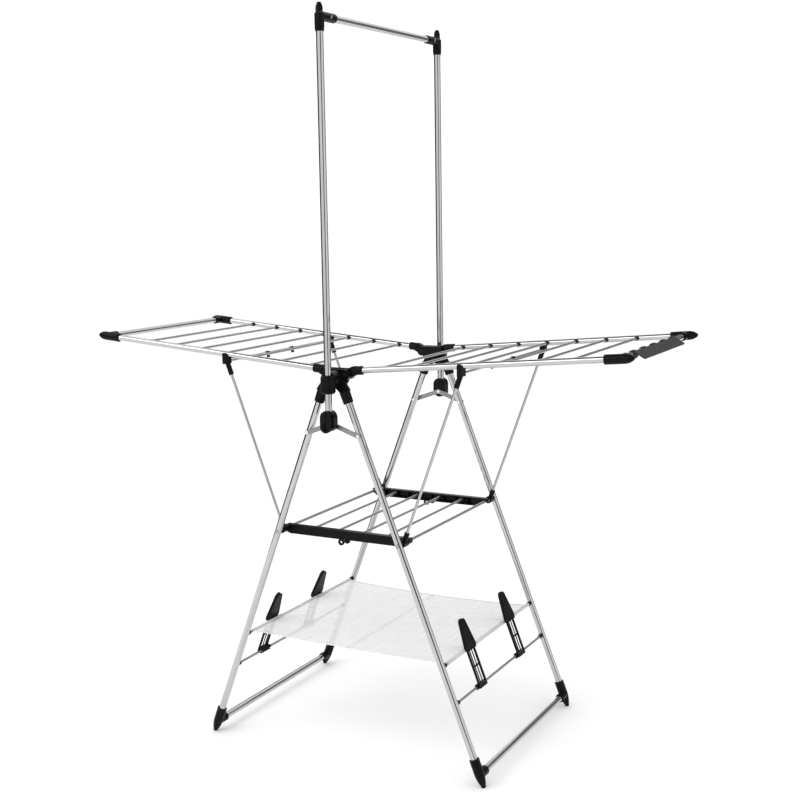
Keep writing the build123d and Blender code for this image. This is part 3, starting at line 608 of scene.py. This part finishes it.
@dataclass
class Legs:
    """One pair of legs: tubes, sockets, feet, bar, rods and rivets."""

    side: str
    tube_radius: float = 8 * MM
    tube: DrawnSteel = DrawnSteel("leg_tube")
    bar: DrawnSteel = DrawnSteel("foot_bar_tube")
    rod: DrawnSteel = DrawnSteel(
        "side_rod_wire", colour=(0.42, 0.42, 0.43), shadow=(0.30, 0.30, 0.31), roughness=0.34
    )
    plastic: MouldedPlastic = MouldedPlastic("leg_plastic")
    rivet: StampedSteel = StampedSteel("rivet_steel", colour=(0.90, 0.90, 0.90), dull=(0.70, 0.70, 0.70))

    def build(self) -> None:
        """Finishes the nodes of one pair of legs."""
        side = self.side
        angle = lean(f"{side}_leg_tubes", self.tube_radius) * SIDES[side]
        down = Vector((sin(angle), 0, -cos(angle)))
        dress(self.tube.material(down), f"{side}_leg_tubes")
        dress(self.bar.material(Y_AXIS), f"{side}_foot_bar")
        dress(self.rod.material(Y_AXIS), f"{side}_side_rods", f"{side}_pivot_rod")
        dress(self.plastic.material(down), f"{side}_leg_sockets", f"{side}_feet", f"{side}_rod_plugs")
        dress(self.rivet.material(Y_AXIS), f"{side}_link_rivets")


@dataclass
class Spreader:
    """Flat links between the legs, with the rivet heads in their middle."""

    steel: StampedSteel = StampedSteel("link_steel", colour=(0.30, 0.30, 0.31), dull=(0.22, 0.22, 0.23))
    head: StampedSteel = StampedSteel("link_head_steel", colour=(0.90, 0.90, 0.90), dull=(0.70, 0.70, 0.70))

    def build(self) -> None:
        """Finishes the links."""
        dress(self.steel.material(X_AXIS), "left_links", "right_links")
        dress(self.head.material(Y_AXIS), "link_centre_heads")


@dataclass
class GarmentFrame:
    """The tall frame: poles, rail, top fittings, screws and brackets."""

    plug_depth: float = 10 * MM
    tube: DrawnSteel = DrawnSteel("pole_tube")
    rail: DrawnSteel = DrawnSteel("rail_tube")
    plastic: MouldedPlastic = MouldedPlastic("frame_plastic")
    screw: StampedSteel = StampedSteel("screw_steel", colour=(0.70, 0.70, 0.70))

    def build(self) -> None:
        """Finishes the garment frame."""
        inside_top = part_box("top_fittings")[0].z + self.plug_depth
        dress(self.tube.material(Z_AXIS, inside_top), "garment_poles")
        dress(self.rail.material(Y_AXIS), "garment_bar")
        dress(self.plastic.material(), "top_fittings", "pole_brackets")
        dress(self.screw.material(Z_AXIS), "top_screws")


@dataclass
class Wing:
    """One wing with its strut: tubes, rods, corner fittings and clips."""

    side: str
    tube_radius: float = 7 * MM
    strut_radius: float = 3.25 * MM
    tube: DrawnSteel = DrawnSteel("wing_tube")
    end: DrawnSteel = DrawnSteel("wing_end_tube")
    rod: DrawnSteel = DrawnSteel(
        "wing_rod_wire", colour=(0.46, 0.46, 0.47), shadow=(0.33, 0.33, 0.34), roughness=0.30
    )
    strut: DrawnSteel = DrawnSteel(
        "strut_wire", colour=(0.50, 0.50, 0.51), shadow=(0.38, 0.38, 0.39), roughness=0.28
    )
    plastic: MouldedPlastic = MouldedPlastic("wing_plastic")

    def build(self) -> None:
        """Finishes the nodes of one wing and its strut."""
        side, sign = self.side, SIDES[self.side]
        rise = pi / 2 - lean(f"{side}_wing_side_tubes", self.tube_radius)
        outwards = Vector((sign * cos(rise), 0, sin(rise)))
        angle = lean(f"{side}_strut_frame", self.strut_radius)
        up = Vector((sign * sin(angle), 0, cos(angle)))
        dress(self.tube.material(outwards), f"{side}_wing_side_tubes")
        dress(self.end.material(Y_AXIS), f"{side}_wing_end_bar")
        dress(self.rod.material(Y_AXIS), f"{side}_wing_rods")
        dress(self.strut.material(up), f"{side}_strut_frame")
        dress(
            self.plastic.material(outwards),
            f"{side}_wing_sockets",
            f"{side}_corner_fittings",
            f"{side}_wing_rod_clips",
            f"{side}_strut_fittings",
            f"{side}_strut_clips",
        )


@dataclass
class Shelf:
    """The middle shelf: two ribbed rails and the rods between them."""

    plastic: MouldedPlastic = MouldedPlastic("shelf_plastic", flow=4.0)
    rod: DrawnSteel = DrawnSteel(
        "shelf_rod_wire", colour=(0.42, 0.42, 0.43), shadow=(0.30, 0.30, 0.31), roughness=0.32
    )

    def build(self) -> None:
        """Finishes the shelf."""
        dress(self.plastic.material(X_AXIS), "shelf_rails")
        dress(self.rod.material(Y_AXIS), "shelf_rods")


@dataclass
class Accessories:
    """The clip strip and the shoe holders."""

    strip: MouldedPlastic = MouldedPlastic(
        "clip_strip_plastic",
        colour=(0.035, 0.035, 0.037),
        worn=(0.075, 0.075, 0.078),
        roughness=0.42,
        flow=20.0,
    )
    holder: MouldedPlastic = MouldedPlastic("shoe_holder_plastic")

    def build(self) -> None:
        """Finishes the clip strip and the four holders."""
        dress(self.strip.material(Y_AXIS), "clip_strip")
        holder = self.holder.material()
        for side in SIDES:
            dress(holder, f"{side}_front_shoe_holder", f"{side}_rear_shoe_holder")


@dataclass
class Net:
    """Sweater net in two halves that meet in the middle, sewn to a hem sleeve on each side rod."""

    sag: float = 9 * MM
    edge_sag_share: float = 0.62
    pull: float = 0.9 * MM
    pull_waves: float = 4.5
    bow: float = 5 * MM
    thickness: float = 0.5 * MM
    end_gap: float = 4 * MM
    tape: float = 7 * MM
    columns: int = 26
    rows: int = 44
    hold: Hold = Hold.STRETCHED
    weave: OpenWeave = OpenWeave()
    hem: SewnTape = SewnTape()
    lap_share: float = 0.4
    sleeve_wall: float = 1.0 * MM
    sleeve_rings: int = 60
    sleeve_sides: int = 20
    sleeve_flatness: float = 0.04
    crease: float = 0.10
    crease_turns: tuple[float, float] = (310.0, 83.0)
    flap: float = 4 * MM
    flap_columns: int = 4
    flap_start_share: float = 0.55
    stitch_pitch: float = 4.2 * MM
    stitch_length: float = 2.6 * MM
    stitch_radius: float = 0.35 * MM
    radius: float = field(init=False)
    hem_x: float = field(init=False)
    hem_z: float = field(init=False)
    front: float = field(init=False)
    rear: float = field(init=False)
    middle_y: float = field(init=False)
    half_depth: float = field(init=False)
    half_width: float = field(init=False)

    def build(self) -> None:
        """Makes both halves, their sleeves and their stitches, and says what moves with what."""
        low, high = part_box("right_net_hem")
        centre = (low + high) / 2
        self.radius = (high.z - low.z) / 2
        self.hem_x, self.hem_z = centre.x, centre.z
        self.front, self.rear = low.y, high.y
        self.half_depth = (self.rear - self.front) / 2 - self.end_gap
        self.middle_y = (self.front + self.rear) / 2
        self.half_width = self.hem_x - self.radius * (1 - self.lap_share)
        weave = self.weave.material(self.half_width, self.half_depth, self.tape)
        tape = self.hem.material()
        for side, sign in SIDES.items():
            sleeve = self._sleeve(side, sign, tape)
            stitches = self._stitches(side, sign, tape)
            half = self._half(side, sign, weave)
            self._declare(side, half, sleeve, stitches)

    def height(self, across: float, along: float) -> float:
        """Height of the net.

        Args:
            across: place from the middle, -1 to 1 from hem to hem.
            along: place from front to rear, -1 to 1.

        Returns:
            Height above the floor.
        """
        middle_share = (1 - self.edge_sag_share) * (1 - along * along)
        hang = (1 - across * across) * (self.edge_sag_share + middle_share)
        gather = abs(across) ** 3 * (1 - abs(across))
        pull = self.pull * sin(2 * pi * self.pull_waves * along) * gather
        return self.hem_z - self.sag * hang + pull

    def _half(self, side: str, sign: int, material: bpy.types.Material) -> bpy.types.Object:
        """One half of the net, from the middle to its hem.

        Args:
            side: left or right.
            sign: -1 or 1.
            material: the weave.

        Returns:
            The half net.
        """
        mesh = bmesh.new()
        bmesh.ops.create_grid(mesh, x_segments=self.columns, y_segments=self.rows, size=0.5)
        flat = mesh.loops.layers.uv.new("flat")
        for face in mesh.faces:
            for loop in face.loops:
                place = loop.vert.co
                loop[flat].uv = (sign * (place.x + 0.5) * self.half_width, place.y * 2 * self.half_depth)
        for vertex in mesh.verts:
            across, along = vertex.co.x + 0.5, vertex.co.y * 2
            inset = self.bow * (1 - across * across) * along
            vertex.co = Vector(
                (
                    sign * across * self.half_width,
                    self.middle_y + along * self.half_depth - inset,
                    self.height(across, along),
                )
            )
        bmesh.ops.recalc_face_normals(mesh, faces=mesh.faces)
        bmesh.ops.solidify(mesh, geom=mesh.faces[:], thickness=self.thickness)
        bmesh.ops.recalc_face_normals(mesh, faces=mesh.faces)
        return finished(f"{side}_net_half", mesh, material)

    def _sleeve(self, side: str, sign: int, material: bpy.types.Material) -> bpy.types.Object:
        """Sewn sleeve round a side rod, with the flap that is stitched to the net.

        Args:
            side: left or right.
            sign: -1 or 1.
            material: the tape.

        Returns:
            The sleeve.
        """
        mesh = bmesh.new()
        inner = self.radius - self.sleeve_wall
        for radius in (self.radius, inner):
            bmesh.ops.create_circle(mesh, segments=self.sleeve_sides, radius=radius)
        edges = mesh.edges[:]
        faces = bmesh.ops.bridge_loops(mesh, edges=edges)["faces"]
        bmesh.ops.rotate(mesh, verts=mesh.verts, cent=(0, 0, 0), matrix=Matrix.Rotation(pi / 2, 3, "X"))
        step = (self.rear - self.front) / self.sleeve_rings
        for index in range(self.sleeve_rings):
            grown = bmesh.ops.extrude_face_region(mesh, geom=faces, use_keep_orig=index == 0)
            faces = [piece for piece in grown["geom"] if isinstance(piece, bmesh.types.BMFace)]
            moved = [piece for piece in grown["geom"] if isinstance(piece, bmesh.types.BMVert)]
            bmesh.ops.translate(mesh, verts=moved, vec=(0, step, 0))
        centre = Vector((sign * self.hem_x, self.front, self.hem_z))
        fine, coarse = self.crease_turns
        for vertex in mesh.verts:
            crease = self.crease * sin(vertex.co.y * fine) * sin(vertex.co.y * coarse + sign)
            if Vector((vertex.co.x, vertex.co.z)).length > (self.radius + inner) / 2:
                vertex.co.x *= 1 - self.sleeve_flatness * crease
                vertex.co.z *= 1 - self.sleeve_flatness + crease * 0.3
            vertex.co += centre
        self._flap(mesh, sign)
        bmesh.ops.remove_doubles(mesh, verts=mesh.verts, dist=1e-6)
        bmesh.ops.recalc_face_normals(mesh, faces=mesh.faces)
        return finished(f"{side}_hem_sleeve", mesh, material)

    def _flap(self, mesh: bmesh.types.BMesh, sign: int) -> None:
        """Doubled cloth from the sleeve over the edge of the net.

        Args:
            mesh: the sleeve's mesh, which gains the flap.
            sign: -1 or 1.
        """
        grid = bmesh.ops.create_grid(mesh, x_segments=self.flap_columns, y_segments=self.rows, size=0.5)
        made = grid["verts"]
        inner_x = self.hem_x - self.radius * self.flap_start_share
        for vertex in made:
            across, along = vertex.co.x + 0.5, vertex.co.y * 2
            x = inner_x - across * self.flap
            vertex.co = Vector(
                (
                    sign * x,
                    self.middle_y + along * self.half_depth,
                    self.height(min(1.0, x / self.half_width), along) + self.thickness * 0.2,
                )
            )
        faces = list({face for vertex in made for face in vertex.link_faces})
        bmesh.ops.recalc_face_normals(mesh, faces=faces)
        bmesh.ops.solidify(mesh, geom=faces, thickness=2.2 * self.thickness)

    def _stitches(self, side: str, sign: int, material: bpy.types.Material) -> bpy.types.Object:
        """Row of stitches along the flap.

        Args:
            side: left or right.
            sign: -1 or 1.
            material: the thread.

        Returns:
            The stitches, as one piece.
        """
        mesh = bmesh.new()
        x = self.hem_x - self.radius * self.flap_start_share - self.flap * 0.55
        count = int(2 * self.half_depth / self.stitch_pitch)
        for index in range(count):
            y = self.middle_y - self.half_depth + (index + 0.5) * self.stitch_pitch
            along = (y - self.middle_y) / self.half_depth
            top = self.height(x / self.half_width, along) + self.thickness * 1.5
            made = bmesh.ops.create_icosphere(mesh, subdivisions=1, radius=self.stitch_radius)["verts"]
            for vertex in made:
                vertex.co.y *= self.stitch_length / (2 * self.stitch_radius)
                vertex.co += Vector((sign * x, y, top))
        return finished(f"{side}_hem_stitches", mesh, material)

    def _declare(
        self,
        side: str,
        half: bpy.types.Object,
        sleeve: bpy.types.Object,
        stitches: bpy.types.Object,
    ) -> None:
        """Joins one half's sleeve and stitches to the rack's bodies; the half itself is baked in place.

        Args:
            side: left or right.
            half: the half net.
            sleeve: its hem sleeve.
            stitches: its stitches.
        """
        legs = f"{side}_legs"
        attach(sleeve, legs)
        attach(stitches, legs)
        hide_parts(f"{side}_net_hem")
        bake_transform(half)
        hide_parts("sweater_net")


# ------------------------------------------------------------------ studio
@dataclass(frozen=True)
class Card:
    """Upright card that only shows as a darker line in polished steel.

    Its bearing is measured from the front, towards the right, in degrees.
    """

    name: str
    bearing: float
    width: float
    shade: float
    distance: float = 5.0
    middle: float = 0.9
    height: float = 5.0


@dataclass
class Studio:
    """Pale floor, soft light and the camera."""

    floor_size: float = 90.0
    floor_tones: tuple[Colour, Colour] = ((0.97, 0.97, 0.97), (0.985, 0.985, 0.985))
    sky_strength: float = 1.08
    sky_top: Colour = (0.97, 0.97, 0.98)
    lamp_place: Colour = (-2.2, -3.2, 4.2)
    lamp_aim: Colour = (0, 0, 0.8)
    lamp_size: float = 3.0
    lamp_power: float = 60.0
    ceiling_size: float = 5.0
    ceiling_height: float = 4.6
    ceiling_shade: Colour = (0.16, 0.16, 0.16)
    camera_place: Colour = (1.4742, -2.7195, 1.2840)
    heading: float = radians(27.98)
    pitch: float = radians(-8.79)
    roll: float = radians(-0.90)
    lens: float = 58.37
    sensor: float = 36.0
    cards: tuple[Card, ...] = (
        Card("centre_card", bearing=45.0, width=2.1, shade=0.004),
        Card("left_card", bearing=-100.0, width=11.5, shade=0.03),
        Card("right_card", bearing=160.0, width=6.0, shade=0.20),
    )

    def build(self) -> None:
        """Makes the floor, the light and the camera."""
        bpy.context.scene.view_settings.view_transform = "Standard"
        self._floor()
        self._sky()
        self._lamp()
        for card in self.cards:
            self._card(card)
        self._ceiling()
        self._camera()

    def _floor(self) -> None:
        """Wide white floor."""
        shader = Shader("studio_floor")
        mottle = shader.noise(shader.place(), 0.5, detail=4.0)
        shader.set(
            base_color=shader.blend(mottle, *self.floor_tones),
            roughness=mottle * 0.1 + 0.8,
            specular_ior_level=0.1,
        )
        mesh = bmesh.new()
        bmesh.ops.create_grid(mesh, x_segments=1, y_segments=1, size=self.floor_size / 2)
        finished("studio_floor", mesh, shader.material)

    def _sky(self) -> None:
        """World light: white all round, and very slightly cooler overhead."""
        world = bpy.data.worlds.new("studio_sky")
        bpy.context.scene.world = world
        world.use_nodes = True
        tree = world.node_tree
        background = next(node for node in tree.nodes if node.type == "BACKGROUND")
        coordinates = tree.nodes.new("ShaderNodeTexCoord")
        separate = tree.nodes.new("ShaderNodeSeparateXYZ")
        ramp = tree.nodes.new("ShaderNodeValToRGB")
        level, top = ramp.color_ramp.elements
        level.color = (1.0, 1.0, 1.0, 1.0)
        top.color = (*self.sky_top, 1.0)
        tree.links.new(coordinates.outputs["Generated"], separate.inputs[0])
        tree.links.new(separate.outputs["Z"], ramp.inputs["Fac"])
        tree.links.new(ramp.outputs["Color"], background.inputs["Color"])
        background.inputs["Strength"].default_value = self.sky_strength

    def _lamp(self) -> None:
        """One square soft light that faces the rack."""
        light = bpy.data.lights.new("key", "AREA")
        light.energy = self.lamp_power
        light.size = self.lamp_size
        lamp = bpy.data.objects.new("key", light)
        bpy.context.scene.collection.objects.link(lamp)
        lamp.location = self.lamp_place
        aim = Vector(self.lamp_aim) - Vector(self.lamp_place)
        lamp.rotation_euler = aim.to_track_quat("-Z", "Y").to_euler()

    def _card(self, card: Card) -> None:
        """Stands one card up.

        Args:
            card: the card.
        """
        shader = Shader(card.name)
        shader.set(base_color=(card.shade,) * 3, roughness=1.0, specular_ior_level=0.0)
        bearing = radians(card.bearing)
        place = Vector((card.distance * sin(bearing), -card.distance * cos(bearing), card.middle))
        mesh = bmesh.new()
        bmesh.ops.create_grid(mesh, x_segments=1, y_segments=1, size=0.5)
        face = Vector((-place.x, -place.y, 0)).to_track_quat("Z", "Y").to_matrix()
        bmesh.ops.scale(mesh, vec=(card.width, card.height, 1), verts=mesh.verts)
        bmesh.ops.rotate(mesh, cent=(0, 0, 0), matrix=face, verts=mesh.verts)
        bmesh.ops.translate(mesh, vec=place, verts=mesh.verts)
        self._glossy_only(finished(card.name, mesh, shader.material))

    def _ceiling(self) -> None:
        """Grey card overhead, seen only in polished steel and glossy plastic."""
        shader = Shader("ceiling_card")
        shader.set(base_color=self.ceiling_shade, roughness=1.0, specular_ior_level=0.0)
        mesh = bmesh.new()
        bmesh.ops.create_grid(mesh, x_segments=1, y_segments=1, size=self.ceiling_size / 2)
        bmesh.ops.reverse_faces(mesh, faces=mesh.faces)
        bmesh.ops.translate(mesh, vec=(0, 0, self.ceiling_height), verts=mesh.verts)
        self._glossy_only(finished("ceiling_card", mesh, shader.material))

    @staticmethod
    def _glossy_only(card: bpy.types.Object) -> None:
        """Lets a card show in reflections and nowhere else.

        Args:
            card: the card.
        """
        card.visible_camera = False
        card.visible_diffuse = False
        card.visible_shadow = False
        card.visible_transmission = False

    def _camera(self) -> None:
        """Camera in front of the rack, to its right and a little above its hub."""
        data = bpy.data.cameras.new("camera")
        data.lens = self.lens
        data.sensor_width = self.sensor
        camera = bpy.data.objects.new("camera", data)
        bpy.context.scene.collection.objects.link(camera)
        camera.location = self.camera_place
        ahead = Vector(
            (
                -sin(self.heading) * cos(self.pitch),
                cos(self.heading) * cos(self.pitch),
                sin(self.pitch),
            )
        )
        right = Vector((cos(self.heading), sin(self.heading), 0))
        up = right.cross(ahead)
        right_turned = cos(self.roll) * right + sin(self.roll) * up
        up_turned = -sin(self.roll) * right + cos(self.roll) * up
        turn = Matrix((right_turned, up_turned, -ahead)).transposed()
        camera.rotation_mode = "QUATERNION"
        camera.rotation_quaternion = turn.to_quaternion()
        bpy.context.scene.camera = camera


def main() -> None:
    """Builds the studio and each sub-assembly in order."""
    parts = [
        Studio(),
        Hub(),
        Legs("left"),
        Legs("right"),
        Spreader(),
        GarmentFrame(),
        Wing("left"),
        Wing("right"),
        Shelf(),
        Accessories(),
        Net(),
    ]
    for part in parts:
        part.build()
        log.info("built %s", type(part).__name__)


if __name__ == "__main__":
    main()
